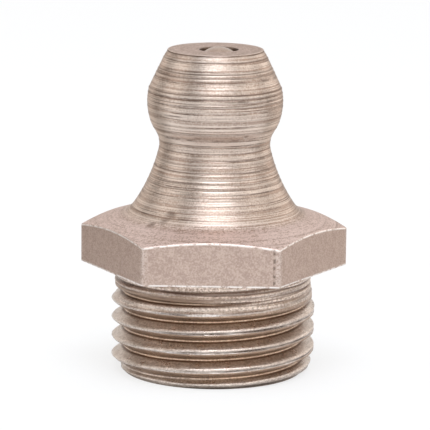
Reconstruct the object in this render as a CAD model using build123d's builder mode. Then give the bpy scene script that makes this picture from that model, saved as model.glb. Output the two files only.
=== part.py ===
# Straight grease nipple with a conical head and a G 1/8 shank.
#
# Three pieces make it up: the turned body, the check ball that closes its mouth, and the
# spring that holds the ball up.  Millimetres, +Z up.  The origin is on the thread's axis, in
# the seat plane under the hexagon, so the shank hangs below Z = 0 and the head stands above.

from build123d import *
from math import cos, pi, radians, sin, sqrt, tan
import os

# Shank.  Its plain cylinder is the thread's crest diameter.
thread_dia = 9.728            # G 1/8, 28 threads to the inch
shank_length = 5.14
tip_dia = 8.60                # flat ring at the foot
tip_angle = 45.0              # of the foot's chamfer, from the axis

# Hexagon, left from the bar.
across_flats = 11.0
hex_corner_radius = 0.12
flat_height = 2.08            # at the middle of a flat
hex_top_angle = 17.7          # the turned top falls away by this, from level
hex_top_dia = 9.04            # where the top starts to sweep up

# Head, turned from the hexagon up.  Each rise is counted from the level before.
flare_dia = 7.67
flare_rise = 0.51
waist_dia = 5.33
waist_rise = 2.65
undercut_dia = 5.61
undercut_rise = 0.85
shoulder_dia = 5.88
shoulder_rise = 0.23
crown_dia = 6.12
crown_rise = 0.26
cone_dia = 6.29
cone_rise = 1.62
face_dia = 4.58
face_rise = 1.80
face_edge_break = 0.08

# Valve: a ball under a conical seat, and the passage behind it.
ball_dia = 2.381              # 3/32 inch
ball_proud = 0.12             # the ball's top stands this far out of the face
seat_half_angle = 30.0        # of the seat's cone, from the axis
seat_land = 0.11              # lip of the seat inside the ring that the ball closes on
ball_clearance = 0.34         # round the ball, for the grease to pass
bore_runout = 0.15            # the passage is drilled this far off the thread's axis

# Spring, coiled with each end closed and ground flat.
wire_dia = 0.35
wire_sides = 6                # the round wire is drawn with this many flats
spring_clearance = 0.12       # between the coils and the passage
active_turns = 5
closed_turns = 0.75           # at each end
closed_gap = 0.02             # added to the wire's thickness, a closed end's rise in a turn
points_per_turn = 12          # along the wire's centreline
spring_foot_height = 0.55     # of the spring's lower end above the foot

# Stakes: punched into the foot, they push metal in under the spring.
stake_count = 3
stake_dia = 1.0
stake_reach = 0.55            # how far a stake comes into the passage
punch_width = 0.8             # across the square punch's mark
punch_angle = 30.0            # of a punch mark's side, from the axis
punch_depth = 0.35

touch_gap = 0.012             # left between round faces that only rest on each other

# Levels and radii worked out from the sizes above.
tip_level = -shank_length
thread_radius = thread_dia / 2
tip_top_level = tip_level + (thread_dia - tip_dia) / 2 / tan(radians(tip_angle))
corner_radius = across_flats / 2 / cos(radians(30))
hex_top_slope = tan(radians(hex_top_angle))
hex_corner_level = flat_height - (corner_radius - across_flats / 2) * hex_top_slope
hex_top_level = flat_height + (across_flats - hex_top_dia) / 2 * hex_top_slope
flare_level = hex_top_level + flare_rise
waist_level = flare_level + waist_rise
undercut_level = waist_level + undercut_rise
shoulder_level = undercut_level + shoulder_rise
crown_level = shoulder_level + crown_rise
cone_level = crown_level + cone_rise
face_level = cone_level + face_rise

ball_radius = ball_dia / 2
ball_level = face_level + ball_proud - ball_radius
bore_radius = ball_radius + ball_clearance
mouth_radius = ball_radius * cos(radians(seat_half_angle)) - seat_land
spring_foot_level = tip_level + spring_foot_height
coil_radius = bore_radius - spring_clearance - wire_dia / 2
coil_inner_radius = coil_radius - wire_dia / 2
spring_top_level = ball_level - sqrt((ball_radius + touch_gap) ** 2 - coil_inner_radius**2)

# The passage's own planes: level, and cut down its axis.
passage = Plane(origin=(bore_runout, 0, 0), x_dir=(1, 0, 0), z_dir=(0, 0, 1))
passage_section = Plane(origin=passage.origin, x_dir=passage.x_dir, z_dir=(0, -1, 0))


def seat_level(radius):
    """Level of the seat's cone at a radius from the passage's axis, clear of the ball."""
    lean = radians(seat_half_angle)
    return ball_level + (ball_radius + touch_gap - radius * cos(lean)) / sin(lean)


# --- Body: turned from hexagonal bar, drilled from the foot, and staked there ----------------
with BuildPart() as body:
    with BuildSketch(Plane.XY.offset(tip_level)):
        RegularPolygon(across_flats / 2, 6, major_radius=False)
        fillet(vertices(), hex_corner_radius)
    extrude(amount=face_level - tip_level)

    with BuildSketch(Plane.XZ):
        with BuildLine():
            shank = Polyline(
                (0, tip_level),
                (tip_dia / 2, tip_level),
                (thread_radius, tip_top_level),
                (thread_radius, 0),
                (corner_radius, 0),
                (corner_radius, hex_corner_level),
                (hex_top_dia / 2, hex_top_level),
            )
            flare = TangentArc(
                shank @ 1, (flare_dia / 2, flare_level), tangent=(-1, hex_top_slope)
            )
            waist = TangentArc(flare @ 1, (waist_dia / 2, waist_level), tangent=flare % 1)
            undercut = TangentArc(
                waist @ 1, (undercut_dia / 2, undercut_level), tangent=waist % 1
            )
            shoulder = Line(undercut @ 1, (shoulder_dia / 2, shoulder_level))
            crown = TangentArc(shoulder @ 1, (crown_dia / 2, crown_level), tangent=shoulder % 1)
            cone = TangentArc(crown @ 1, (cone_dia / 2, cone_level), tangent=crown % 1)
            Polyline(cone @ 1, (face_dia / 2, face_level), (0, face_level), (0, tip_level))
        make_face()
    revolve(axis=Axis.Z, mode=Mode.INTERSECT)
    chamfer(edges().filter_by(GeomType.CIRCLE).sort_by(Axis.Z)[-1], face_edge_break)

    with BuildSketch(passage_section):
        with BuildLine():
            Polyline(
                (0, tip_level),
                (bore_radius, tip_level),
                (bore_radius, seat_level(bore_radius)),
                (mouth_radius, seat_level(mouth_radius)),
                (mouth_radius, face_level),
                (0, face_level),
                close=True,
            )
        make_face()
    revolve(axis=Axis(passage.origin, passage.z_dir), mode=Mode.SUBTRACT)

    with BuildSketch(passage.offset(tip_level)):
        with PolarLocations(bore_radius + stake_dia / 2 - stake_reach, stake_count):
            Circle(stake_dia / 2)
    extrude(amount=spring_foot_height)

    with BuildSketch(passage.offset(tip_level)):
        with PolarLocations(bore_radius + punch_width / 2, stake_count):
            Rectangle(punch_width, punch_width)
    extrude(amount=punch_depth, taper=punch_angle, mode=Mode.SUBTRACT)
body.part.label = "body"


# --- Check ball: a plain bearing ball --------------------------------------------------------
with BuildPart(passage.offset(ball_level)) as check_ball:
    Sphere(ball_radius)
check_ball.part.label = "check_ball"


# --- Spring: one length of wire, its end turns closed and ground flat ------------------------
turns = active_turns + 2 * closed_turns
closed_pitch = wire_dia + closed_gap
closed_rise = closed_pitch * closed_turns
active_pitch = (spring_top_level - spring_foot_level - 2 * closed_rise) / active_turns


def coil_point(turn):
    """Centre of the wire after so many turns from the foot."""
    open_turns = min(max(turn - closed_turns, 0), active_turns)
    level = spring_foot_level + closed_pitch * turn + (active_pitch - closed_pitch) * open_turns
    angle = 2 * pi * turn
    return passage.origin + Vector(coil_radius * cos(angle), coil_radius * sin(angle), level)


with BuildPart() as spring:
    with BuildLine():
        steps = round(turns * points_per_turn)
        wire = Spline([coil_point(turns * step / steps) for step in range(steps + 1)])
    with BuildSketch(Plane(origin=wire @ 0, z_dir=wire % 0)):
        RegularPolygon(wire_dia / 2, wire_sides)
    sweep(path=wire, is_frenet=True)
    split(bisect_by=passage.offset(spring_foot_level), keep=Keep.TOP)
    split(bisect_by=passage.offset(spring_top_level), keep=Keep.BOTTOM)
spring.part.label = "spring"


os.makedirs("parts", exist_ok=True)
export_step(body.part, "parts/body.step")
export_step(check_ball.part, "parts/check_ball.step")
export_step(spring.part, "parts/spring.step")
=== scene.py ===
from math import atan2, cos, hypot, pi, radians, sin, sqrt, tan

import bmesh
import bpy
import numpy as np
from mathutils import Matrix, Vector


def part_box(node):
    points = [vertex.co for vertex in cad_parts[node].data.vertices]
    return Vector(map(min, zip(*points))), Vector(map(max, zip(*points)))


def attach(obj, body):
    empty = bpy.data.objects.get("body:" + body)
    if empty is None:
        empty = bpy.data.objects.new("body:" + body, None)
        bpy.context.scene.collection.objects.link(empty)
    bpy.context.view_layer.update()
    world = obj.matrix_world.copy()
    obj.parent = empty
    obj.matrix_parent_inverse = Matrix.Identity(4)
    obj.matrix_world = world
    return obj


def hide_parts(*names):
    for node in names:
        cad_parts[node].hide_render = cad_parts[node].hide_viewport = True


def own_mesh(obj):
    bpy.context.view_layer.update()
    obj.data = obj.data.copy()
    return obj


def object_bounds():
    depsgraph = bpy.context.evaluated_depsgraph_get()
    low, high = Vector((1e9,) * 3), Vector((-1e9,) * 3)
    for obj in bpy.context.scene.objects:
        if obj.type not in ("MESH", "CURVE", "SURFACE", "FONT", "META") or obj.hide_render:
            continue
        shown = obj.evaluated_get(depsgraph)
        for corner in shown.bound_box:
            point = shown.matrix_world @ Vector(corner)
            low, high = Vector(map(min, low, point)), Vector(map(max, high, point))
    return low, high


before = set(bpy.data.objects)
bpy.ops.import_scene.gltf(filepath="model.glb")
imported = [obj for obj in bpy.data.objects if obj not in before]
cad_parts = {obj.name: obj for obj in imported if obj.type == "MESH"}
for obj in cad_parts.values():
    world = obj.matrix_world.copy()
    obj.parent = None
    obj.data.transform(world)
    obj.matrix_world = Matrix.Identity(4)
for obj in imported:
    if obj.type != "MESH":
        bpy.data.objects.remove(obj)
cad_low, cad_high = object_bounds()

# --- Body: thread -----------------------------------------------------------------------------
# The shank is rolled to a G 1/8 thread, so its crests stand above the plain blank that is left
# under the hexagon.  A crest keeps the thin fold in which the rolled metal met, the first
# groove fades out at the front, and the foot's chamfer cuts the last turn away.

mm = 0.001

thread_radius = 4.864 * mm
thread_pitch = 0.907 * mm
thread_depth = 0.60 * mm
flank_angle = radians(26.8)
root_land = 0.08 * mm           # across the bottom of the groove
corner_rounding = 0.08 * mm     # at the crest's and the root's corners
blank_radius = 4.67 * mm
blank_ring_levels = (0.55 * mm, 0.81 * mm, 1.095 * mm)  # turning marks on it, below the hexagon
blank_ring_depth = 0.07 * mm
ring_half_width = 0.07 * mm     # of such a mark, and of the ridge round the foot
collar_radius = 4.70 * mm       # plain, straight under the hexagon
collar_height = 0.50 * mm
collar_blend = 0.10 * mm        # height over which it runs into the blank
groove_lead_in = 0.710          # of a pitch, sets where round the shank the grooves lie
groove_end = 5.806              # turns from the strip's start at which the first groove has gone
groove_fade = 1.10              # turns over which it goes
crest_end = 5.02                # turns at which the crest above it is down to its stub
crest_fade = 0.26
crest_stub = 0.35               # share of a full crest that runs on to the groove's end
runout_tilt = 0.28              # the die ran out deeper on one side, by this share of the depth
die_traces = (                  # place across a pitch, turns of start and end, and strength
    (0.12, 6.25, 7.10, 1.0), (0.50, 5.70, 6.10, 0.7), (0.72, 5.55, 6.10, 0.7),
    (0.10, 5.85, 6.12, 0.7),
)
trace_width = 0.16              # of a pitch, of these last shallow traces of the die
trace_depth = 0.055 * mm
trace_lead_in = 0.08            # turns over which a trace grows to its depth
trace_run_out = 0.15            # and over which it goes again
furrow_width = 0.20 * mm        # along the middle of a crest, between its two lips
furrow_depth = 0.085 * mm
lip_raggedness = 0.07 * mm
crest_point = 0.10 * mm         # by which a crest falls away to its sides where it is rolled sharp
crest_point_width = 0.11 * mm   # from the crest's middle to where it has fallen away
foot_level = -5.14 * mm
foot_radius = 4.29 * mm
foot_chamfer = radians(45)
foot_ridge = 0.09 * mm          # height of the low ridge round the foot's chamfer
foot_ridge_level = -4.90 * mm
foot_softness = 0.03 * mm       # of the corner between the chamfer and the thread
foot_snap = 0.004 * mm          # rows nearer the foot than this lie at it
foot_blend = 0.04 * mm          # height over which the rows run into the foot's rim
weld_distance = 0.002 * mm
rows_in_pitch = 24
row_crowding = 0.65             # draws the rows towards the crests and the root
columns_in_turn = 260


class Amount:
    """A value in a node tree.  Sums with it are written as with a plain number."""

    def __init__(self, socket):
        self.socket = socket
        self.tree = socket.id_data

    def __add__(self, other):
        return work("ADD", self, other)

    def __sub__(self, other):
        return work("SUBTRACT", self, other)

    def __rsub__(self, other):
        return work("SUBTRACT", other, self)

    def __mul__(self, other):
        return work("MULTIPLY", self, other)

    def __truediv__(self, other):
        return work("DIVIDE", self, other)

    def __abs__(self):
        return work("ABSOLUTE", self)


def feed(socket, value):
    """Gives a socket a link or a value."""
    if isinstance(value, Amount):
        value = value.socket
    if isinstance(value, bpy.types.NodeSocket):
        socket.id_data.links.new(value, socket)
    else:
        socket.default_value = value


def fill(node, inputs):
    """Feeds a node's inputs by their names."""
    for name, value in inputs.items():
        feed(node.inputs[name], value)


def place(tree, kind, inputs=None, **settings):
    """A node of a kind, with its settings and what it is fed."""
    node = tree.nodes.new(kind)
    for name, value in settings.items():
        setattr(node, name, value)
    fill(node, inputs or {})
    return node


def work(operation, *values, clamp=False):
    """A sum worked by a Math node."""
    tree = next(value.tree for value in values if isinstance(value, Amount))
    node = place(tree, "ShaderNodeMath", operation=operation, use_clamp=clamp)
    for socket, value in zip(node.inputs, values):
        feed(socket, value)
    return Amount(node.outputs[0])


def ramp(value, low, high, to_low=0.0, to_high=1.0, kind="SMOOTHSTEP"):
    """Value between low and high, turned into a value between to_low and to_high."""
    node = place(value.tree, "ShaderNodeMapRange", interpolation_type=kind)
    for socket, given in zip(node.inputs, (value, low, high, to_low, to_high)):
        feed(socket, given)
    return Amount(node.outputs[0])


def fade(value, low, high):
    """1 up to low, falling to 0 at high."""
    return ramp(value, low, high, 1.0, 0.0)


def part_way(share, low, high):
    """Low where share is 0 and high where it is 1."""
    return low * (1.0 - share) + share * high


def vector(x, y, z):
    """A place made of its three coordinates."""
    return Amount(place(x.tree, "ShaderNodeCombineXYZ", {"X": x, "Y": y, "Z": z}).outputs[0])


def coordinates(where):
    """The three coordinates of a place."""
    outputs = place(where.tree, "ShaderNodeSeparateXYZ", {"Vector": where}).outputs
    return [Amount(socket) for socket in outputs]


def noise(where, scale, detail=2.0, roughness=0.5):
    """Noise from 0 to 1 at a place."""
    node = place(where.tree, "ShaderNodeTexNoise", {
        "Vector": where, "Scale": scale, "Detail": detail, "Roughness": roughness})
    return Amount(node.outputs["Fac"])


def node_tree(name, sizes):
    """A Geometry Nodes tree with one named input for each size, and its input values."""
    tree = bpy.data.node_groups.new(name, "GeometryNodeTree")
    tree.interface.new_socket("Geometry", in_out="OUTPUT", socket_type="NodeSocketGeometry")
    for size in sizes:
        tree.interface.new_socket(size, in_out="INPUT", socket_type="NodeSocketFloat")
    inputs = place(tree, "NodeGroupInput").outputs
    return tree, {size: Amount(inputs[size]) for size in sizes}


def positions(tree):
    """The coordinates of the points that a tree is working on."""
    return coordinates(Amount(place(tree, "GeometryNodeInputPosition").outputs[0]))


def close_tree(tree, geometry, material):
    """Ends a tree: smooth, real mesh, with its material."""
    smooth = place(tree, "GeometryNodeSetShadeSmooth", {"Geometry": geometry})
    real = place(tree, "GeometryNodeRealizeInstances", {"Geometry": smooth.outputs["Geometry"]})
    finish = place(tree, "GeometryNodeSetMaterial",
                   {"Geometry": real.outputs["Geometry"], "Material": material})
    place(tree, "NodeGroupOutput", {"Geometry": finish.outputs["Geometry"]})


def set_out(name, data):
    """A new object in the scene, at the origin."""
    thing = bpy.data.objects.new(name, data)
    bpy.context.scene.collection.objects.link(thing)
    return thing


def grown_mesh(name, tree, sizes):
    """The plain mesh that a tree grows from its sizes."""
    grower = set_out(name, bpy.data.meshes.new(name))
    modifier = grower.modifiers.new(name, "NODES")
    modifier.node_group = tree
    for item in tree.interface.items_tree:
        if item.in_out == "INPUT":
            modifier[item.identifier] = float(sizes[item.name])
    bpy.context.view_layer.update()
    grown = grower.evaluated_get(bpy.context.evaluated_depsgraph_get())
    mesh = bpy.data.meshes.new_from_object(grown)
    bpy.data.objects.remove(grower)
    return mesh


def new_metal(name):
    """A metal with its shader and its Object coordinates in millimetres."""
    metal = bpy.data.materials.new(name)
    metal.use_nodes = True
    tree = metal.node_tree
    shader = tree.nodes["Principled BSDF"]
    shader.inputs["Metallic"].default_value = 1.0
    own_place = place(tree, "ShaderNodeTexCoord").outputs["Object"]
    in_mm = place(tree, "ShaderNodeMapping", {"Vector": own_place, "Scale": (1 / mm, 1 / mm, 1 / mm)})
    return metal, shader, Amount(in_mm.outputs["Vector"])


def blend(amount, low, high):
    """A colour between two others."""
    node = place(amount.tree, "ShaderNodeMix", {"Factor": amount}, data_type="RGBA", clamp_factor=True)
    for socket, colour in ((node.inputs[6], low), (node.inputs[7], high)):
        feed(socket, colour if isinstance(colour, Amount) else (*colour, 1))
    return Amount(node.outputs[2])


def bands(value, *stops):
    """Colours that follow one another as a value goes from 0 to 1."""
    node = place(value.tree, "ShaderNodeValToRGB", {"Fac": value})
    elements = node.color_ramp.elements
    while len(elements) < len(stops):
        elements.new(0.5)
    for element, (position, colour) in zip(elements, stops):
        element.position = position
        element.color = (*colour, 1)
    return Amount(node.outputs["Color"])


def raised(height, microns):
    """The normal of a surface that stands microns higher where height is 1."""
    bump = place(height.tree, "ShaderNodeBump",
                 {"Strength": 1.0, "Distance": microns * 1e-6, "Height": height})
    return Amount(bump.outputs["Normal"])


def stored(tree, name):
    """A value that the mesh carries under a name."""
    return Amount(place(tree, "ShaderNodeAttribute", attribute_name=name).outputs["Fac"])


# Thread colours: the flanks carry painted light and shade, the root a painted warm reflection, and the
# groove's dark holds dirt and painted shade.
lip_highlight = (0.86, 0.78, 0.71)
upper_flank_lit = (0.82, 0.72, 0.64)
lower_flank_shaded = (0.46, 0.33, 0.245)
root_reflection_tan = (0.88, 0.68, 0.51)
dirt_and_groove_shade = (0.22, 0.145, 0.105)
furrow_dirt_and_shade = (0.09, 0.055, 0.04)
lip_glint = (0.97, 0.94, 0.91)
blank_light = (0.97, 0.83, 0.73)
blank_dark = (0.42, 0.315, 0.245)
foot_highlight_levels = (-4.72, -4.60)    # levels in millimetres between which the foot's painted highlight begins

thread_steel, shader, place_mm = new_metal("rolled_thread_steel")
x, y, z = coordinates(place_mm)
turn_phase = z * (2 * pi / (thread_pitch / mm)) - work("ARCTAN2", y, x)
along_helix = vector(work("COSINE", turn_phase) * 2.2 + x * 0.5,
                     work("SINE", turn_phase) * 2.2 + y * 0.5, z * 0.4)
streaks = noise(along_helix, 3.4, 4.0, 0.65)
grain = noise(place_mm, 9.0, 3.0, 0.65)
patchy = noise(place_mm, 1.7, 3.0, 0.6)

# The groove's colours from one crest to the next, its root at 0.5: a painted highlight on the crest's
# lips, the upper flank painted lit and the lower flank painted shaded, painted shade either side of the
# root and a painted warm reflection along it.
root_phase = foot_level / thread_pitch - groove_lead_in - 0.5
above_root = work("WRAP", turn_phase / (2 * pi) - root_phase, 0.5, -0.5)
above_root = above_root + (streaks - 0.5) * 0.06
groove_colour = bands(
    above_root + 0.5, (0.0, lip_highlight), (0.05, lip_highlight), (0.10, upper_flank_lit),
    (0.37, upper_flank_lit), (0.41, dirt_and_groove_shade), (0.445, dirt_and_groove_shade), (0.465, root_reflection_tan),
    (0.54, root_reflection_tan), (0.57, dirt_and_groove_shade), (0.70, lower_flank_shaded), (0.92, lower_flank_shaded),
    (0.96, lip_highlight), (1.0, lip_highlight))
# Painted highlight: the ridge round the foot takes the lips' highlight colour, and lips and ridge carry
# painted glints.
on_ridge = fade(abs(z - foot_ridge_level / mm), 0.02, 0.07)
on_lip = ramp(abs(above_root), 0.43, 0.465)
glint_specks = ramp(noise(along_helix, 6.0, 4.0, 0.75), 0.44, 0.54)
glint_strength = ramp(noise(along_helix, 1.3, 2.0, 0.5), 0.42, 0.56)
groove_colour = blend(on_ridge, groove_colour, lip_highlight)
groove_colour = blend(work("MAXIMUM", on_lip, on_ridge) * glint_specks, groove_colour,
                      blend(glint_strength, upper_flank_lit, lip_glint))

# The plain blank and collar, the foot painted pale as a highlight, the dirt that clings to all of it,
# and painted shade darkening the thread towards its sides.
rolled = stored(shader.id_data, "rolled")
blank_rings = noise(vector(x * 0.15, y * 0.15, z * 7.0), 1.0, 3.0, 0.6)
blank_colour = blend(ramp(blank_rings * 0.7 + grain * 0.3, 0.40, 0.62), blank_dark, blank_light)
steel_colour = blend(rolled, blank_colour, groove_colour)
# Painted highlight: the foot's chamfer is blended towards the lips' highlight colour.
steel_colour = blend(fade(z, *foot_highlight_levels) * 0.7, steel_colour, lip_highlight)
clinging = ramp(grain * 0.6 + streaks * 0.4, 0.36, 0.60, 0.60, 0.0)
steel_colour = blend(clinging, steel_colour, dirt_and_groove_shade)
# Painted shade: the rolled thread darkens towards its left and right sides.
side_shade = ramp(abs(x), 1.2, 3.6, 0.0, 0.28) * rolled
steel_colour = blend(side_shade, steel_colour, dirt_and_groove_shade)
# Packed dirt and painted shade darken the crest furrows, die traces and blank rings.
packed_dirt_and_shade = stored(shader.id_data, "furrow") * ramp(grain, 0.35, 0.6, 0.55, 1.0)
fill(shader, {
    "Base Color": blend(packed_dirt_and_shade, steel_colour, furrow_dirt_and_shade),
    "Roughness": ramp(patchy, 0.3, 0.7, 0.26, 0.42),
    "Normal": raised(streaks + grain * 0.8, 16)})

thread_sizes = {
    "Radius": thread_radius, "Pitch": thread_pitch, "Depth": thread_depth,
    "Flank Slope": tan(flank_angle), "Root Land": root_land,
    "Corner Rounding": corner_rounding, "Blank Radius": blank_radius,
    "Collar Radius": collar_radius, "Collar Height": collar_height, "Collar Blend": collar_blend,
    "Crest End": crest_end, "Crest Fade": crest_fade, "Crest Stub": crest_stub,
    "Tilt": runout_tilt, "Trace Width": trace_width, "Trace Depth": trace_depth,
    "Lead In": groove_lead_in, "Groove End": groove_end, "Groove Fade": groove_fade,
    "Furrow Width": furrow_width, "Furrow Depth": furrow_depth,
    "Raggedness": lip_raggedness, "Crest Point": crest_point, "Point Width": crest_point_width,
    "Ring Depth": blank_ring_depth, "Ring Half Width": ring_half_width,
    "Foot Ridge": foot_ridge, "Ridge Level": foot_ridge_level,
    "Foot Level": foot_level, "Foot Radius": foot_radius, "Foot Slope": tan(foot_chamfer),
    "Foot Softness": foot_softness, "Foot Snap": foot_snap, "Foot Blend": foot_blend,
    "Rows": rows_in_pitch, "Crowding": row_crowding, "Columns": columns_in_turn,
    "Weld Distance": weld_distance,
}
tree, size = node_tree("rolled_thread", thread_sizes)

# A flat strip, as long as all the turns and one pitch wide, is wound on the shank.
turns = work("CEIL", size["Foot Level"] * -1.0 / size["Pitch"]) + 2.0
strip = place(tree, "GeometryNodeMeshGrid", {
    "Size X": 1.0, "Size Y": 1.0, "Vertices X": turns * size["Columns"] + 1.0,
    "Vertices Y": size["Rows"] + 1.0})
strip_x, strip_y = positions(tree)[:2]
turn = (strip_x + 0.5) * turns
even_row = strip_y + 0.5
across = even_row - work("SINE", even_row * (4 * pi)) * (size["Crowding"] / (4 * pi))
angle = turn * (2 * pi)
cosine, sine = work("COSINE", angle), work("SINE", angle)
start_level = size["Foot Level"] - size["Pitch"] * (size["Lead In"] + 1.0)
free_level = start_level + size["Pitch"] * (turn + across)
over_foot = work("MAXIMUM", free_level - size["Foot Level"], 0.0)
over_foot = over_foot * work("GREATER_THAN", over_foot, size["Foot Snap"])
level = work("MINIMUM", over_foot + size["Foot Level"], 0.0)
below_hexagon = level * -1.0

# The groove's own form, from its root up both flanks to the crests.
from_root = abs(across - 0.5) * 2.0
half_pitch = size["Pitch"] * 0.5
rise = (from_root * half_pitch - size["Root Land"] * 0.5) / size["Flank Slope"]
rise = work("SMOOTH_MIN", rise, size["Depth"], size["Corner Rounding"])
rise = work("SMOOTH_MAX", rise, 0.0, size["Corner Rounding"])

# Under the hexagon the crest comes to its end and the groove is lifted out of the blank.  The
# strip's lower edge is the crest of the turn before.
earlier = turn - fade(across, 0.0, 0.3)
crest_formed = work(
    "MAXIMUM", fade(earlier, size["Crest End"] - size["Crest Fade"], size["Crest End"]),
    size["Crest Stub"] * fade(earlier, size["Groove End"], size["Groove End"] + 0.1))
fade_start = size["Groove End"] - size["Groove Fade"]
vanished = 1.0 - (size["Radius"] - size["Blank Radius"]) / size["Depth"]
tilt = size["Tilt"] * cosine * ramp(turn, fade_start, fade_start + 0.3)
end_tilt = size["Tilt"] * work("COSINE", size["Groove End"] * (2 * pi))
lift = tilt + ramp(turn, fade_start, size["Groove End"], 0.0, vanished - end_tilt, "LINEAR")
lift = lift + ramp(turn, size["Groove End"], size["Groove End"] + 0.05)
groove_share = work("SUBTRACT", 1.0, lift / vanished, clamp=True)
groove = size["Radius"] - size["Depth"] + (rise + size["Depth"] * lift)

# The fold along a crest is an open furrow, but on the left the crest is rolled sharp instead.
round_place = vector(cosine, sine, (turn + across) * 0.9)
from_crest = (1.0 - from_root) * half_pitch
in_furrow = fade(from_crest, 0.0, size["Furrow Width"] * 0.5)
furrow_open = ramp(noise(round_place, 2.6, 4.0, 0.7), 0.36, 0.62, 0.15, 1.0)
furrow = in_furrow * furrow_open * crest_formed * ramp(cosine, -0.75, -0.3)
ragged = (noise(round_place, 8.0, 2.0, 0.7) - 0.5) * ramp(from_root, 0.55, 0.8)
pointed = fade(cosine, -0.75, 0.0) * (crest_formed * ramp(from_root, 0.2, 0.6))
pointed = pointed * ramp(from_crest, 0.0, size["Point Width"], 0.0, 1.0, "LINEAR")

blank_ring = 0.0
for ring_level in blank_ring_levels:
    apart = abs(below_hexagon - ring_level)
    blank_ring = work("MAXIMUM", blank_ring, fade(apart, 0.0, size["Ring Half Width"]))
blank_ring = blank_ring * (1.0 - crest_formed)
crest = size["Blank Radius"] + crest_formed * (size["Radius"] - size["Blank Radius"])
crest = crest - blank_ring * size["Ring Depth"]
shank = work("MINIMUM", crest, groove) - furrow * size["Furrow Depth"]
shank = shank + ragged * size["Raggedness"] - pointed * size["Crest Point"]
collar_foot = size["Collar Height"] - size["Collar Blend"]
in_collar = fade(below_hexagon, collar_foot, size["Collar Height"])
shank = part_way(in_collar, shank, size["Collar Radius"])

traces = 0.0
for trace_across, trace_start, trace_end, strength in die_traces:
    apart = abs(across - trace_across)
    trace = ramp(apart, 0.0, size["Trace Width"] * 0.5, strength, 0.0)
    trace = trace * ramp(turn, trace_start, trace_start + trace_lead_in)
    trace = trace * fade(turn, trace_end - trace_run_out, trace_end)
    traces = work("MAXIMUM", traces, trace)
traces = traces * ramp(below_hexagon, 0.03 * mm, 0.1 * mm)
shank = shank - traces * size["Trace Depth"]

chamfer = size["Foot Radius"] + (level - size["Foot Level"]) * size["Foot Slope"]
from_ridge = abs(level - size["Ridge Level"])
chamfer = chamfer + size["Foot Ridge"] * fade(from_ridge, 0.0, size["Ring Half Width"])
shank = work("SMOOTH_MIN", shank, chamfer, size["Foot Softness"])
at_foot = fade(level - size["Foot Level"], 0.0, size["Foot Blend"])
shank = part_way(at_foot, shank, size["Foot Radius"])

# What the metal above needs to know: how far it was rolled, and where dirt has packed and shade is
# painted into furrows, die traces and rings.
near_crest = ramp(from_root, 0.5, 0.8)
rolled = part_way(near_crest, ramp(groove_share, 0.0, 0.35), crest_formed)
thread_dirt_and_shade = work("MAXIMUM", work("MAXIMUM", furrow, traces), blank_ring)
marks = strip.outputs["Mesh"]
for mark_name, mark_value in (("rolled", rolled), ("furrow", thread_dirt_and_shade)):
    store = place(tree, "GeometryNodeStoreNamedAttribute",
                  {"Geometry": marks, "Name": mark_name, "Value": mark_value},
                  data_type="FLOAT", domain="POINT")
    marks = store.outputs["Geometry"]
wound = place(tree, "GeometryNodeSetPosition",
              {"Geometry": marks, "Position": vector(shank * cosine, shank * sine, level)})
weld = place(tree, "GeometryNodeMergeByDistance",
             {"Geometry": wound.outputs["Geometry"], "Distance": size["Weld Distance"]})
close_tree(tree, weld.outputs["Geometry"], thread_steel)
thread_mesh = grown_mesh("thread", tree, thread_sizes)

# --- Body: hexagon and head -------------------------------------------------------------------
# The body is one piece of free-cutting steel bar.  The six flats are the bar's own drawn skin;
# the top of the hexagon, the neck and the head are turned, so fine rings run round them, and
# the head's cone ends in a flat face with the mouth in its middle.

# From here to the skin's vertices, lengths are in millimetres.
across_flats = 11.0
hex_corner_radius = 0.12
hex_edge_break = 0.04
flat_height = 2.08
hex_top_angle = radians(17.7)
hex_top_radius = 4.52
head_arcs = (                   # radius, and rise from the one before
    ("flare", 3.835, 0.51),
    ("waist", 2.665, 2.65),
    ("undercut", 2.805, 0.85),
    ("shoulder", 2.94, 0.23),
    ("crown", 3.06, 0.26),
    ("cone", 3.145, 1.62),
)
face_radius = 2.29
face_rise = 1.80
chamfer_start = 10.03           # level at which the face's narrow chamfer leaves the cone
chamfer_end = (2.312, 10.20)    # radius and level
lip_start = (2.285, 10.262)     # radius and level of the low lip that stands over the chamfer
lip_direction = (-0.1, 1.0)     # in which it leaves its start
lip_radius = 0.05
outline_step = 0.02             # between points of the outline, and half of it on the lip
feed_step = 0.11                # between the rows of the turned skin
even_rows_end = 0.30            # before the face, where the even rows stop
rim_rows_start = 0.27           # before the face, from where rows follow the outline's points
side_columns = 15               # on each half of a flat
corner_crowding = 1.5           # over 1, draws the columns towards the corners
turning_marks = (               # level, depth and width of the deeper rings on the head
    (9.98, 0.036, 0.10), (9.47, 0.042, 0.10), (9.29, 0.042, 0.10), (9.03, 0.018, 0.08),
    (8.55, 0.044, 0.10), (8.33, 0.030, 0.09), (8.14, 0.024, 0.08), (7.98, 0.022, 0.08),
    (7.72, 0.020, 0.08), (7.34, 0.020, 0.08), (6.98, 0.022, 0.08), (6.69, 0.026, 0.08),
    (6.42, 0.010, 0.06), (6.06, 0.022, 0.08), (5.70, 0.024, 0.09), (5.38, 0.024, 0.08),
    (5.17, 0.022, 0.08), (4.83, 0.034, 0.09), (4.51, 0.020, 0.08), (4.32, 0.028, 0.09),
    (4.08, 0.026, 0.08), (3.86, 0.016, 0.08), (3.60, 0.014, 0.08),
)
mark_rows = (-0.6, -0.35, 0, 0.35, 0.6)  # from a mark's middle, by its width
mark_clearance = 0.75           # from its middle to the next even rows, by its width
mark_lip = 0.35                 # height of the lip under a ring, by the ring's depth
mark_lip_place = 0.6            # of that lip below the ring, by the ring's width
mark_lip_half_width = 0.3
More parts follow.
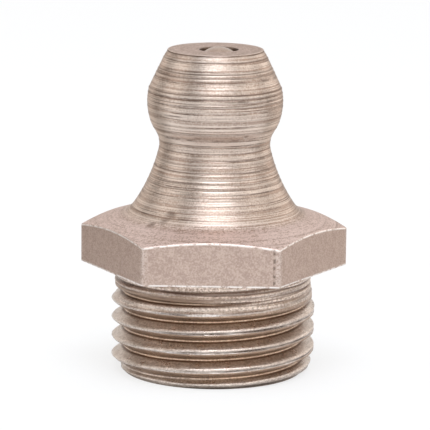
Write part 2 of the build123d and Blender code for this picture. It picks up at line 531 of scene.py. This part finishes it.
dents = (                       # angle in degrees, level, reach and depth of knocks in the skin
    (-120.5, 2.93, 0.34, 0.050), (-124.0, 2.66, 0.26, 0.035), (-131.0, 2.46, 0.22, 0.030),
    (-58.5, 6.53, 0.13, 0.060), (-100.0, 7.95, 0.12, 0.020), (-78.0, 8.32, 0.16, 0.020),
)
dent_flatness = 1.6             # a dent is this much wider than high
dent_steepness = 0.7            # under 1, a dent is steep at its rim and blunt in its middle

# Passage and mouth, drilled a little off the thread's axis.
bore_runout = 0.15
ball_radius = 1.1905
ball_proud = 0.12
seat_half_angle = radians(30)
seat_land = 0.11
ball_clearance = 0.34
touch_gap = 0.012
mouth_break = 0.03

# Stakes and punch marks at the foot.
stake_count = 3
stake_radius = 0.5
stake_reach = 0.55
stake_height = 0.55
punch_half_width = 0.4
punch_slope = tan(radians(30))
punch_depth = 0.35
punched_radius = 2.6            # of the part of the foot whose rows are close enough for the marks

corner_distance = across_flats / 2 / cos(radians(30))
arc_centre = (across_flats / 2 - hex_corner_radius) / cos(radians(30))
arc_end = atan2(hex_corner_radius * sin(radians(30)),
                arc_centre + hex_corner_radius * cos(radians(30)))
hex_slope = tan(hex_top_angle)


def columns():
    """Angles round the axis, crowded at the six corners of the hexagon."""
    half = [arc_end / 2, arc_end]
    half += [arc_end + (radians(30) - arc_end) * (k / side_columns) ** corner_crowding
             for k in range(1, side_columns + 1)]
    one_side = [-a for a in reversed(half[:-1])] + [0.0] + half
    return np.array([radians(60) * side + a for side in range(6) for a in one_side])


def hexagon_radius(angles):
    """Distance of the hexagon's outline from the axis."""
    from_corner = np.abs((angles + radians(30)) % radians(60) - radians(30))
    flat = across_flats / 2 / np.cos(radians(30) - from_corner)
    reach = np.sqrt(np.maximum(hex_corner_radius ** 2
                               - (arc_centre * np.sin(from_corner)) ** 2, 0))
    return np.where(from_corner <= arc_end, arc_centre * np.cos(from_corner) + reach, flat)


def cone_level(radius):
    """Level of the hexagon's turned top."""
    return flat_height - (radius - across_flats / 2) * hex_slope


def tangent_arc(start, direction, end, step):
    """Points of the arc that leaves start along direction and ends at end, and its last direction."""
    start, end = np.array(start), np.array(end)
    ahead = np.array(direction) / hypot(*direction)
    aside = np.array((-ahead[1], ahead[0]))
    chord = end - start
    bend = 2 * (chord @ aside) / (chord @ chord)
    sweep = 2 * atan2(chord @ aside, chord @ ahead)
    steps = max(2, round(hypot(*chord) / step))
    angles = [sweep * k / steps for k in range(1, steps + 1)]
    points = [start + (sin(a) * ahead + (1 - cos(a)) * aside) / bend for a in angles]
    return points, cos(sweep) * ahead + sin(sweep) * aside


def turned_outline():
    """Radius and level of close points up the turned skin, from the hexagon's top to the face."""
    level = cone_level(hex_top_radius)
    points = [np.array((hex_top_radius, level))]
    direction = np.array((-1.0, hex_slope))
    for name, radius, arc_rise in head_arcs:
        level += arc_rise
        if name == "shoulder":
            direction = np.array((radius, level)) - points[-1]
            points.append(np.array((radius, level)))
            continue
        arc_points, direction = tangent_arc(points[-1], direction, (radius, level), outline_step)
        points += arc_points
    corner = np.array((face_radius, level + face_rise))
    along = (chamfer_start - points[-1][1]) / (corner[1] - points[-1][1])
    points.append(part_way(along, points[-1], corner))
    points += [np.array(chamfer_end), np.array(lip_start)]
    lip_end = (lip_start[0] - lip_radius, corner[1])
    lip_points, direction = tangent_arc(points[-1], lip_direction, lip_end, outline_step / 2)
    return np.array(points + lip_points)


def marked_rows(outline):
    """Rows of the turned skin: even ones, and close ones that follow each turning mark."""
    length = np.concatenate(([0], np.cumsum(np.hypot(*np.diff(outline, axis=0).T))))
    where = list(np.arange(0, length[-1] - even_rows_end, feed_step))
    where += list(length[length > length[-1] - rim_rows_start])
    marks = [(np.interp(mark_level, outline[:, 1], length), depth, width)
             for mark_level, depth, width in turning_marks]
    for middle, depth, width in marks:
        where = [w for w in where if abs(w - middle) > width * mark_clearance]
        where += [middle + width * k for k in mark_rows]
    where = np.array(sorted(where))
    radius = np.interp(where, length, outline[:, 0])
    level = np.interp(where, length, outline[:, 1])
    lean_r, lean_z = np.gradient(radius, where), np.gradient(level, where)
    scale = np.hypot(lean_r, lean_z)
    sink = np.zeros(len(where))
    for middle, depth, width in marks:
        sink += depth * np.clip(1 - np.abs(where - middle) / (width * 0.5), 0, 1)
        from_lip = np.abs(where - middle + mark_lip_place * width)
        sink -= mark_lip * depth * np.clip(1 - from_lip / (width * mark_lip_half_width), 0, 1)
    return radius - sink * lean_z / scale, level + sink * lean_r / scale, sink


angles = columns()
hex_radius = hexagon_radius(angles)


def ring(radius, level, centre=0.0):
    """One row of the skin, round a centre on the X axis."""
    return np.stack([centre + radius * np.cos(angles), radius * np.sin(angles),
                     level + 0 * angles], axis=1)


def near_arc(distance, circle_radius, turn):
    """Where a ray at an angle from a circle's direction first meets the circle, or infinity."""
    under = circle_radius ** 2 - (distance * np.sin(turn)) ** 2
    hit = distance * np.cos(turn) - np.sqrt(np.maximum(under, 0))
    return np.where((under > 0) & (np.cos(turn) > 0), hit, np.inf)


outline = turned_outline()
deepest_mark = max(depth for mark_level, depth, width in turning_marks)
skin_radius, skin_level, skin_sink = marked_rows(outline)
face_level = outline[-1, 1]
bore_radius = ball_radius + ball_clearance
mouth_radius = ball_radius * cos(seat_half_angle) - seat_land
ball_level = face_level + ball_proud - ball_radius
foot = foot_level / mm


def seat_level(radius):
    """Level of the seat's cone, clear of the ball."""
    return ball_level + (ball_radius + touch_gap - radius * cos(seat_half_angle)) / sin(seat_half_angle)


stake_turns = [2 * pi * k / stake_count for k in range(stake_count)]
stake_distance = bore_radius + stake_radius - stake_reach
staked_radius = np.full(len(angles), bore_radius)
for stake_turn in stake_turns:
    staked_radius = np.minimum(staked_radius, near_arc(stake_distance, stake_radius, angles - stake_turn))

flat_top = cone_level(hex_radius)
rows, row_finish, row_mark = [], [], []


def dented(row):
    """A row with the knocks pushed in, and how deep each of its points lies in one."""
    out = np.hypot(row[:, 0], row[:, 1])
    marks = np.zeros(len(angles))
    for dent_angle, dent_level, reach, depth in dents:
        aside = (np.arctan2(row[:, 1], row[:, 0]) - radians(dent_angle)) * out
        apart = np.hypot(aside, (row[:, 2] - dent_level) * dent_flatness) / reach
        dent = np.clip(1 - apart, 0, 1) ** dent_steepness
        row[:, :2] *= (1 - dent * depth / out)[:, None]
        marks = np.maximum(marks, dent)
    return row, marks


def lay(finish, *new_rows, mark=0.0):
    """Adds rows to the skin, with the finish of the band that each ends and how deep it is marked."""
    for row in new_rows:
        marks = np.zeros(len(angles))
        if finish == "turned":
            row, marks = dented(row)
        rows.append(row)
        row_finish.append(finish)
        row_mark.append(np.maximum(marks, mark))


# The hexagon, from the collar out along its seat face, up the flats and in over the top.
round_off = hex_edge_break * (1 - sqrt(0.5))
lay("turned", ring(collar_radius / mm + 2 * hex_edge_break, 0.0),
    ring(hex_radius - 2 * hex_edge_break, 0.0), ring(hex_radius - hex_edge_break, 0.0))
lay("bar", ring(hex_radius - round_off, round_off), ring(hex_radius, hex_edge_break),
    ring(hex_radius, 2 * hex_edge_break))
for share in (0.2, 0.4, 0.6, 0.8):
    lay("bar", ring(hex_radius, share * flat_top))
lay("bar", ring(hex_radius, flat_top - 2 * hex_edge_break), ring(hex_radius, flat_top - hex_edge_break),
    ring(hex_radius - round_off, flat_top - round_off))
for inset in (1, 2):
    cone_radius = hex_radius - inset * hex_edge_break
    lay("turned", ring(cone_radius, cone_level(cone_radius)))
for share in np.linspace(0.1, 1, 10)[:-1]:
    cone_radius = part_way(share, hex_radius - 2 * hex_edge_break, hex_top_radius)
    lay("turned", ring(cone_radius, cone_level(cone_radius)))

# The neck and head, with painted shade under the lip, and the face in to the mouth.
for radius_here, level_here, sink_here in zip(skin_radius, skin_level, skin_sink):
    # Painted shade: rows under the face's lip are marked fully dark.
    shaded_under_lip = chamfer_end[1] + 0.01 < level_here < face_level - 0.02
    sunk = 1.0 if shaded_under_lip else min(1.0, 1.2 * max(0.0, sink_here) / deepest_mark)
    lay("turned", ring(radius_here, level_here), mark=sunk)
for share in np.linspace(0.1, 1, 8):
    lay("turned", ring(part_way(share, skin_radius[-1], mouth_radius + mouth_break), face_level,
                       bore_runout * share))

# Down the passage: mouth, seat, bore and stakes.
lay("bore", ring(mouth_radius + 0.3 * mouth_break, face_level - 0.3 * mouth_break, bore_runout),
    ring(mouth_radius, face_level - mouth_break, bore_runout))
for share in (0.3, 1.0):
    lay("bore", ring(mouth_radius, part_way(share, face_level, seat_level(mouth_radius)), bore_runout))
for share in (0.25, 0.5, 0.75, 1.0):
    seat_radius = part_way(share, mouth_radius, bore_radius)
    lay("bore", ring(seat_radius, seat_level(seat_radius), bore_runout))
above_stakes = foot + stake_height + 0.05
for share in np.linspace(0.1, 1, 10):
    lay("bore", ring(bore_radius, part_way(share, seat_level(bore_radius), above_stakes), bore_runout))
lay("bore", ring(bore_radius, foot + stake_height, bore_runout))
for share in (0.0, 0.35, 0.7, 1.0):
    lay("bore", ring(staked_radius, foot + stake_height * (1 - share), bore_runout))

# Out over the foot, with the square punch marks, to the thread.
for share in np.linspace(0.05, 1, 20):
    foot_ring = ring(part_way(share, staked_radius, punched_radius), foot, bore_runout)
    for stake_turn in stake_turns:
        from_bore = foot_ring[:, 0] - bore_runout
        outward = from_bore * cos(stake_turn) + foot_ring[:, 1] * sin(stake_turn)
        sideways = foot_ring[:, 1] * cos(stake_turn) - from_bore * sin(stake_turn)
        apart = np.maximum(np.abs(outward - bore_radius - punch_half_width), np.abs(sideways))
        foot_ring[:, 2] += np.clip((punch_half_width - apart) / punch_slope, 0, punch_depth)
    lay("turned", foot_ring)
for share in (0.35, 0.7, 0.95):
    lay("turned", ring(part_way(share, punched_radius, foot_radius / mm), foot, bore_runout * (1 - share)))

finish_slots = {"bar": 0, "turned": 1, "bore": 2, "thread": 3}
rim_tolerance = 0.0001 * mm
seam_weld = 0.0005 * mm
build = bmesh.new()
build.from_mesh(thread_mesh)
mark_layer = build.verts.layers.float.new("turning_mark")
for face in build.faces:
    face.material_index = finish_slots["thread"]


def turned_by(vertex):
    """A vertex's angle round the axis, from 0 to a full turn."""
    return atan2(vertex.co.y, vertex.co.x) % (2 * pi)


def rim_of_thread(level):
    """The thread's open edge at a level, as vertices in order of their angle."""
    rim = {vertex for edge in build.edges if edge.is_boundary for vertex in edge.verts
           if abs(vertex.co.z - level) < rim_tolerance}
    return sorted(rim, key=turned_by)


def join_rims(first, second, finish):
    """Fills between two rims of different counts with triangles."""
    i = j = 0
    while i < len(first) or j < len(second):
        next_first = turned_by(first[i + 1]) if i + 1 < len(first) else 2 * pi
        next_second = turned_by(second[j + 1]) if j + 1 < len(second) else 2 * pi
        a, b = first[i % len(first)], second[j % len(second)]
        if j == len(second) or (i < len(first) and next_first <= next_second):
            i += 1
            corner = first[i % len(first)]
        else:
            j += 1
            corner = second[j % len(second)]
        build.faces.new((a, corner, b)).material_index = finish_slots[finish]


thread_top, thread_foot = rim_of_thread(0.0), rim_of_thread(foot_level)
count = len(angles)
skin = [[build.verts.new(Vector(p) * mm) for p in row] for row in rows]
for row, marks in zip(skin, row_mark):
    for vertex, mark in zip(row, marks):
        vertex[mark_layer] = mark
for row, next_row, finish in zip(skin, skin[1:], row_finish[1:]):
    for i in range(count):
        n = (i + 1) % count
        face = build.faces.new((row[i], row[n], next_row[n], next_row[i]))
        face.material_index = finish_slots[finish]
join_rims(thread_top, sorted(skin[0], key=turned_by), "turned")
join_rims(thread_foot, sorted(skin[-1], key=turned_by), "turned")
bmesh.ops.remove_doubles(build, verts=build.verts, dist=seam_weld)
bmesh.ops.recalc_face_normals(build, faces=build.faces)
body_mesh = bpy.data.meshes.new("nipple_body")
build.to_mesh(body_mesh)
build.free()
body_mesh.shade_smooth()
nipple_body = set_out("nipple_body", body_mesh)

# Bar skin: matt and finely grained, rubbed bright down its corners, worn bright along its edges with a
# painted highlight there too, and with a line of pits down one front flat.
bar_light = (0.57, 0.45, 0.39)
bar_dark = (0.43, 0.325, 0.275)
bright_wear_and_highlight = (0.90, 0.84, 0.80)
pit_dirt = (0.16, 0.11, 0.085)
pit_line_x = 2.93
edge_tint = (0.80, 0.74, 0.70, 1)


def from_axis(x, y):
    """Distance from the thread's axis."""
    return work("SQRT", x * x + y * y)


bar_steel, shader, place_mm = new_metal("drawn_bar_steel")
x, y, z = coordinates(place_mm)
grain = noise(place_mm, 13.0, 2.0, 0.6)
tone = grain * 0.75 + noise(place_mm, 3.0) * 0.25
skin_colour = blend(ramp(tone, 0.36, 0.64), bar_dark, bar_light)
from_corner = work("PINGPONG", work("ARCTAN2", y, x), radians(30)) * corner_distance
from_edge = work("MINIMUM", z, cone_level(from_axis(x, y)) - z)
patchy = noise(place_mm, 3.2, 3.0, 0.65)
# Painted highlight: the flats' top and bottom edges are painted bright, as well as worn.
edge_wear_and_highlight = fade(from_edge, 0.05, 0.11) * ramp(patchy, 0.34, 0.52)
corner_wear = fade(from_corner, 0.05, 0.28) * ramp(grain + patchy * 0.4, 0.56, 0.80)
wear_and_highlight = work("MAXIMUM", edge_wear_and_highlight, corner_wear * 0.22)
pit_line = fade(abs(x - pit_line_x), 0.03, 0.09) * fade(y, -5.0, -4.6)
pits = pit_line * ramp(noise(place_mm, 6.5), 0.42, 0.54)
skin_colour = blend(pits * 0.8, skin_colour, pit_dirt)
fill(shader, {
    "Base Color": blend(wear_and_highlight, skin_colour, bright_wear_and_highlight), "Specular Tint": edge_tint,
    "Roughness": ramp(wear_and_highlight, 0.0, 1.0, 0.50, 0.32), "Normal": raised(grain, 10)})

# Turned skin: rings of all widths, dark where a deep one holds dirt and painted shade.
turned_light = (0.69, 0.585, 0.510)
turned_dark = (0.37, 0.270, 0.217)
faced_light = (0.68, 0.548, 0.502)    # where a facing cut left it plain: face and hexagon top
ring_dirt_and_shade = (0.10, 0.062, 0.045)
face_edge = (2.1, 2.3)          # radii between which the face's finish gives way to the rings
neck_foot = (3.9, 4.6)          # and the rings to the finish of the hexagon's top
hexagon_top = (4.2, 4.8)        # radii between which that grows matt, and is painted paler as lit from above
turned_steel, shader, place_mm = new_metal("turned_steel")
x, y, z = coordinates(place_mm)
radius = from_axis(x, y)
run = z - radius * 0.9


def rings_at(per_mm, drift):
    """A place that changes fast across the rings and slowly round them."""
    return vector(x * drift, y * drift, run * per_mm)


fine_rings = noise(rings_at(8.5, 0.06), 1.0, 3.0, 0.75)
rings = noise(rings_at(3.2, 0.05), 1.0) * 0.22 + fine_rings * 0.78
mottle = noise(place_mm, 5.5, 3.0, 0.6)
grain = noise(place_mm, 13.0, 2.0, 0.6)
along_ring = noise(rings_at(2.2, 0.8), 1.0, 3.0, 0.7)
on_head = fade(radius, *neck_foot) * ramp(radius, *face_edge)
speckle = grain * 0.50 + (mottle * 0.26 + fine_rings * 0.24)
head_tone = rings * 0.62 + (grain * 0.23 + along_ring * 0.15)
steel_tone = ramp(part_way(on_head, speckle, head_tone), 0.42, 0.57)

# Painted light: the head is painted paler round its undercut, where the flare's glow reflects, and
# less so up its crown.
painted_crown_light = ramp(z, 6.0, 6.3) * ramp(z, 6.6, 7.6, 1.0, 0.3) * fade(z, 7.5, 7.9)
face_tone = noise(place_mm, 4.0, 4.0, 0.75) * 3.0 - 1.65
# Painted light makes the undercut, crown and hexagon top paler; the face's own grain is added too.
for paler in (painted_crown_light * 0.30, ramp(radius, *hexagon_top, 0.0, 0.22),
              face_tone * fade(radius, *face_edge)):
    steel_tone = work("ADD", steel_tone, paler, clamp=True)
ring_colour = blend(steel_tone, turned_dark, blend(on_head, faced_light, turned_light))
thin_line = fade(abs(noise(rings_at(4.2, 0.02), 1.0, 1.0) - 0.5), 0.004, 0.026)
thin_line = thin_line * ramp(along_ring, 0.40, 0.60, 0.15, 1.0)
thin_line = thin_line * ramp(on_head, 0.0, 1.0, 0.3, 1.0)
marked = stored(shader.id_data, "turning_mark") * ramp(along_ring, 0.30, 0.62, 0.55, 1.0)
# Dirt and painted shade darken the deep rings, the fine lines and the band under the face's lip.
head_dirt_and_shade = work("MAXIMUM", marked, thin_line * 0.8) * 0.90
ring_height = rings * ramp(on_head, 0.0, 1.0, 0.25, 1.0)
round_axis = place(shader.id_data, "ShaderNodeTangent", direction_type="RADIAL", axis="Z")
fill(shader, {
    "Base Color": blend(head_dirt_and_shade, ring_colour, ring_dirt_and_shade), "Specular Tint": edge_tint,
    "Roughness": ramp(grain, 0.3, 0.7, 0.32, 0.42) + ramp(radius, *hexagon_top, 0.0, 0.16),
    "Anisotropic": on_head * 0.65, "Anisotropic Rotation": 0.25,
    "Tangent": round_axis.outputs["Tangent"],
    "Normal": raised(ring_height + grain * 0.12 - thin_line * 0.25, 34)})

# Drilled skin: darker and greasy.
drilled_light = (0.34, 0.27, 0.22)
drilled_dark = (0.16, 0.12, 0.10)
drilled_steel, shader, place_mm = new_metal("drilled_steel")
x, y, z = coordinates(place_mm)
spiral = noise(vector(x * 0.5, y * 0.5, z * 6.0), 1.0, 3.0)
fill(shader, {
    "Base Color": blend(spiral, drilled_dark, drilled_light), "Roughness": 0.42,
    "Normal": raised(spiral, 12)})

for metal in (bar_steel, turned_steel, drilled_steel, thread_steel):
    body_mesh.materials.append(metal)
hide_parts("body")
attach(nipple_body, "housing")

# --- Check ball -------------------------------------------------------------------------------
# A 3/32 inch bearing ball closes the mouth from inside.  It is hard ground steel, gone dull,
# with a ring worn where it sits on its seat.

ball_columns = 96
ball_rows = 48
crown_start = 0.98              # of the radius, the height above which the crown is worn
crown_wear = 0.04               # in millimetres, by the height above that
seat_wear = 0.002
seat_wear_reach = 0.05          # of the radius, above and below the line it sits on
ball_light = (0.50, 0.385, 0.315)
ball_dark = (0.38, 0.28, 0.225)


def ball_point(row, column):
    """A point of the worn ball, in metres, in a row counted from the bottom."""
    lean = pi * row / ball_rows
    turn_here = 2 * pi * column / ball_columns
    height = -cos(lean)
    on_seat = max(0.0, 1 - abs(height - sin(seat_half_angle)) / seat_wear_reach)
    worn_off = crown_wear * max(0.0, height - crown_start) + seat_wear * on_seat
    away = Vector((sin(lean) * cos(turn_here), sin(lean) * sin(turn_here), height))
    return (away * (ball_radius - worn_off) + Vector((bore_runout, 0, ball_level))) * mm


points = [ball_point(row, column) for row in range(1, ball_rows) for column in range(ball_columns)]
points += [ball_point(0, 0), ball_point(ball_rows, 0)]
bottom = len(points) - 2
top = len(points) - 1
last_row = (ball_rows - 2) * ball_columns
faces = []
for here in range(ball_columns):
    beside = (here + 1) % ball_columns
    faces += [(bottom, beside, here), (last_row + here, last_row + beside, top)]
    for row in range(0, last_row, ball_columns):
        above = row + ball_columns
        faces.append((row + here, row + beside, above + beside, above + here))
ball_mesh = bpy.data.meshes.new("bearing_ball")
ball_mesh.from_pydata(points, [], faces)
ball_mesh.shade_smooth()
bearing_ball = set_out("bearing_ball", ball_mesh)

ball_steel, shader, place_mm = new_metal("bearing_steel")
smear = noise(place_mm, 2.4, 3.0)
fill(shader, {
    "Base Color": blend(smear, ball_dark, ball_light),
    "Roughness": ramp(smear, 0.3, 0.7, 0.18, 0.34)})
ball_mesh.materials.append(ball_steel)
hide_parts("check_ball")
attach(bearing_ball, "ball")

# --- Spring -----------------------------------------------------------------------------------
# One length of hard drawn wire is coiled with a closed turn at each end, and its ends are
# ground flat.  It stands on the stakes at the foot and pushes the ball up on to its seat.

wire_radius = 0.175 * mm
wire_sides = 20
spring_clearance = 0.12 * mm
active_turns = 5
closed_turns = 0.75
closed_gap = 0.02 * mm
points_in_turn = 36
spring_low, spring_high = (corner.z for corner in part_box("spring"))
wire_light = (0.50, 0.46, 0.43)
wire_dark = (0.30, 0.27, 0.25)

wire_steel, shader, place_mm = new_metal("spring_wire_steel")
drawn = noise(place_mm, 5.0, 3.0)
fill(shader, {
    "Base Color": blend(drawn, wire_dark, wire_light),
    "Roughness": ramp(drawn, 0.3, 0.7, 0.25, 0.40), "Normal": raised(drawn, 4)})

spring_sizes = {
    "Wire Radius": wire_radius, "Coil Radius": bore_radius * mm - spring_clearance - wire_radius,
    "Active Turns": active_turns, "Closed Turns": closed_turns,
    "Closed Pitch": 2 * wire_radius + closed_gap,
    "Low": spring_low, "High": spring_high, "Centre": bore_runout * mm, "Points": points_in_turn,
    "Wire Sides": wire_sides,
}
tree, size = node_tree("coil_spring", spring_sizes)
both_ends = size["Closed Turns"] * 2.0
steps = (size["Active Turns"] + both_ends) * size["Points"]
line = place(tree, "GeometryNodeMeshLine", {"Count": steps + 1.0})
turn = Amount(place(tree, "GeometryNodeInputIndex").outputs[0]) / size["Points"]
past_end = work("MAXIMUM", turn - size["Closed Turns"], 0.0)
open_turns = work("MINIMUM", past_end, size["Active Turns"])
length = size["High"] - size["Low"]
active_pitch = (length - size["Closed Pitch"] * both_ends) / size["Active Turns"]
climb = turn * size["Closed Pitch"] + open_turns * (active_pitch - size["Closed Pitch"])
angle = turn * (2 * pi)
coil_place = vector(size["Coil Radius"] * work("COSINE", angle) + size["Centre"],
                    size["Coil Radius"] * work("SINE", angle), size["Low"] + climb)
coil = place(tree, "GeometryNodeSetPosition",
             {"Geometry": line.outputs["Mesh"], "Position": coil_place})
path = place(tree, "GeometryNodeMeshToCurve", {"Mesh": coil.outputs["Geometry"]})
section = place(tree, "GeometryNodeCurvePrimitiveCircle",
                {"Resolution": size["Wire Sides"], "Radius": size["Wire Radius"]})
wire = place(tree, "GeometryNodeCurveToMesh", {
    "Curve": path.outputs["Curve"], "Profile Curve": section.outputs["Curve"], "Fill Caps": True})
wire_x, wire_y, wire_z = positions(tree)
ground_z = work("MINIMUM", work("MAXIMUM", wire_z, size["Low"]), size["High"])
ground = place(tree, "GeometryNodeSetPosition",
               {"Geometry": wire.outputs["Mesh"], "Position": vector(wire_x, wire_y, ground_z)})
close_tree(tree, ground.outputs["Geometry"], wire_steel)
coil_spring = set_out("coil_spring", grown_mesh("coil", tree, spring_sizes))

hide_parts("spring")
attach(coil_spring, "housing")
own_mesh(coil_spring)

# --- Floor, light and camera ------------------------------------------------------------------
# The nipple stands on a plain white sheet, in soft light from all round, with one soft box in
# front and grey screens to the sides that only its metal shows.


def sheet_of(name, corners, faces, material):
    """One sheet of the studio."""
    mesh = bpy.data.meshes.new(name)
    mesh.from_pydata(corners, [], faces)
    mesh.materials.append(material)
    sheet = set_out(name, mesh)
    return sheet


floor_half = 0.5
floor_white = bpy.data.materials.new("floor_white")
floor_white.use_nodes = True
tree = floor_white.node_tree
shader = tree.nodes["Principled BSDF"]
fill(shader, {"Base Color": (0.9, 0.9, 0.9, 1), "Roughness": 0.9, "Specular IOR Level": 0.0})
own_white = place(tree, "ShaderNodeEmission")
seen_directly = Amount(place(tree, "ShaderNodeLightPath").outputs["Is Camera Ray"])
pale = place(tree, "ShaderNodeMixShader", {"Fac": seen_directly * 0.75})
feed(pale.inputs[1], shader.outputs[0])
feed(pale.inputs[2], own_white.outputs[0])
fill(tree.nodes["Material Output"], {"Surface": pale.outputs[0]})
floor_corners = [(floor_half * side, floor_half * end, cad_low.z)
                 for side, end in ((-1, -1), (1, -1), (1, 1), (-1, 1))]
sheet_of("floor", floor_corners, [(0, 1, 2, 3)], floor_white)

world = bpy.data.worlds.new("studio")
bpy.context.scene.world = world
world.use_nodes = True
tree = world.node_tree
rays = place(tree, "ShaderNodeLightPath").outputs
shown = work("MAXIMUM", work("MAXIMUM", Amount(rays["Is Camera Ray"]), rays["Is Glossy Ray"]),
             rays["Is Transmission Ray"])
fill(tree.nodes["Background"], {
    "Color": (1, 1, 1, 1), "Strength": ramp(shown, 0.0, 1.0, 0.85, 1.0, "LINEAR")})
world.cycles.sampling_method = "NONE"


def grey_card(name, level):
    """A matt card that shows one even grey."""
    material = bpy.data.materials.new(name)
    material.use_nodes = True
    tree = material.node_tree
    tree.nodes.remove(tree.nodes["Principled BSDF"])
    glow = place(tree, "ShaderNodeEmission", {"Color": (level, level * 0.97, level * 0.94, 1)})
    fill(tree.nodes["Material Output"], {"Surface": glow.outputs[0]})
    return material


screen_foot, screen_top = (0.30, 0.0), (0.30, 0.42)
sheet_near, sheet_far = (0.016, 0.0), (0.30, 0.0)
cards = (                       # azimuths from the camera, (distance, height) of both edges, grey
    ("front_low", -22, 35, (0.298, 0.0), (0.298, 0.09), 1.32),
    ("front_screen", -22, 35, screen_foot, screen_top, 1.12),
    ("left_gap", -60, -22, screen_foot, screen_top, 0.38),
    ("left_strip", -104, -60, screen_foot, screen_top, 1.38),
    ("left_screen", -128, -104, screen_foot, screen_top, 0.50),
    ("left_end", -152, -128, screen_foot, screen_top, 1.15),
    ("right_gap", 35, 58, screen_foot, screen_top, 0.80),
    ("right_strip", 58, 92, screen_foot, screen_top, 1.60),
    ("right_screen", 92, 112, screen_foot, screen_top, 0.62),
    ("right_end", 112, 148, screen_foot, screen_top, 1.58),
    ("back_screen", 148, 208, screen_foot, (0.30, 0.11), 0.86),
    ("left_end_sheet", -150, -130, sheet_near, sheet_far, 0.95),
    ("left_sheet", -130, -92, sheet_near, sheet_far, 0.49),
    ("right_sheet", 98, 132, sheet_near, sheet_far, 0.76),
    ("right_end_sheet", 132, 150, sheet_near, sheet_far, 1.2),
    ("back_sheet", 148, 210, sheet_near, sheet_far, 0.80),
)
card_lift = 0.05 * mm           # above the floor
steps_round = 8
for name, start, end, near_edge, far_edge, grey in cards:
    corners, faces = [], []
    for k in range(steps_round + 1):
        azimuth = radians(start + (end - start) * k / steps_round)
        for distance, height in (near_edge, far_edge):
            corners.append((distance * sin(azimuth), -distance * cos(azimuth),
                            cad_low.z + card_lift + height))
        if k:
            faces.append((2 * k - 2, 2 * k, 2 * k + 1, 2 * k - 1))
    card = sheet_of(name, corners, faces, grey_card(name, grey))
    card.visible_camera = False
    card.visible_diffuse = False
    card.visible_shadow = False

# The soft box, above and in front, looks at the nipple's middle.
box_azimuth = radians(7)
box_elevation = radians(70)
box_distance = 0.30
lamp = bpy.data.lights.new("front_box", "AREA")
lamp.shape = "RECTANGLE"
lamp.size = lamp.size_y = 0.18
lamp.energy = 0.47
lamp.color = (0.90, 0.97, 1.07)
front_box = set_out("front_box", lamp)
away = Vector((sin(box_azimuth) * cos(box_elevation), -cos(box_azimuth) * cos(box_elevation),
               sin(box_elevation)))
front_box.location = (cad_low + cad_high) / 2 + away * box_distance
front_box.rotation_euler = away.to_track_quat("Z", "Y").to_euler()
front_box.visible_camera = False

# Camera: a long lens a little above the hexagon.
camera_distance = 146.75 * mm
camera_elevation = radians(11.282)
camera_azimuth = radians(1.15)
camera_roll = radians(-0.625)
camera_aim = 2.326 * mm
camera_side_aim = 0.0497 * mm
lens_per_frame = 3075.17 / 430  # focal length over the width of the frame

camera_data = bpy.data.cameras.new("camera")
camera_data.sensor_width = 36.0
camera_data.lens = camera_data.sensor_width * lens_per_frame
camera_data.clip_start = 0.01
camera_data.clip_end = 10.0
camera = set_out("camera", camera_data)
bpy.context.scene.camera = camera
orbit = Matrix.Rotation(camera_azimuth, 3, "Z")
back = orbit @ Vector((0, -cos(camera_elevation), sin(camera_elevation)))
level_right = orbit @ Vector((1, 0, 0))
level_up = back.cross(level_right)
right = cos(camera_roll) * level_right - sin(camera_roll) * level_up
up = sin(camera_roll) * level_right + cos(camera_roll) * level_up
aim = Vector((0, 0, camera_aim)) + level_right * camera_side_aim
turned = Matrix((right, up, back)).transposed().to_4x4()
camera.matrix_world = Matrix.Translation(aim + back * camera_distance) @ turned

bpy.context.scene.view_settings.view_transform = "Standard"
